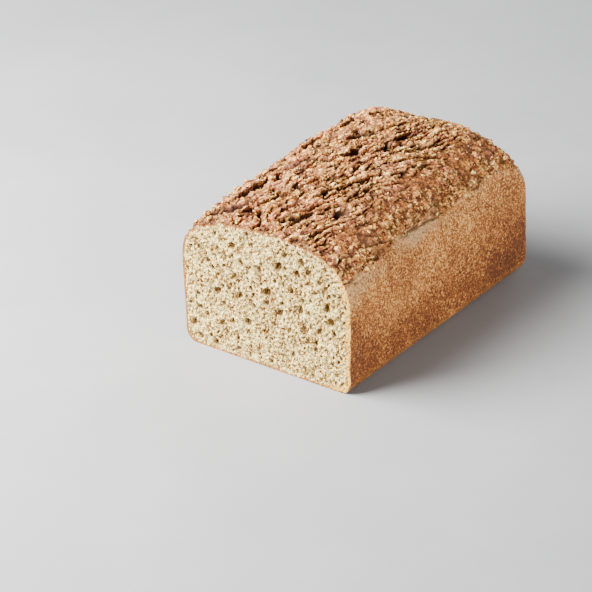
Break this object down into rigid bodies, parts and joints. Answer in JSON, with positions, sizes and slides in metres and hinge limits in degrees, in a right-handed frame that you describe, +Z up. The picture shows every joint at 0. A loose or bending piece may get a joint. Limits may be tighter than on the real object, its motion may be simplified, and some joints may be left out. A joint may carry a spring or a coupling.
{
  "type": "tin loaf",
  "caption": "Cut loaf of seeded wholemeal bread, baked in a rectangular tin: straight golden sides, a cracked crown crusted with bran and an open crumb at the cut end.",
  "frame": {"origin": "on the resting surface, under the middle of the loaf's bounding box", "axes": "+Y along the loaf from the cut face to the baked end, +X to the right seen from the cut face, +Z up"},
  "size_m": [0.12, 0.182, 0.0941],
  "materials": {
    "bread": "dry baked crust, golden brown, with a pale open crumb at the cut end"
  },
  "bodies": {
    "root": {"tin_loaf": "bread"}
  },
  "joints": []
}
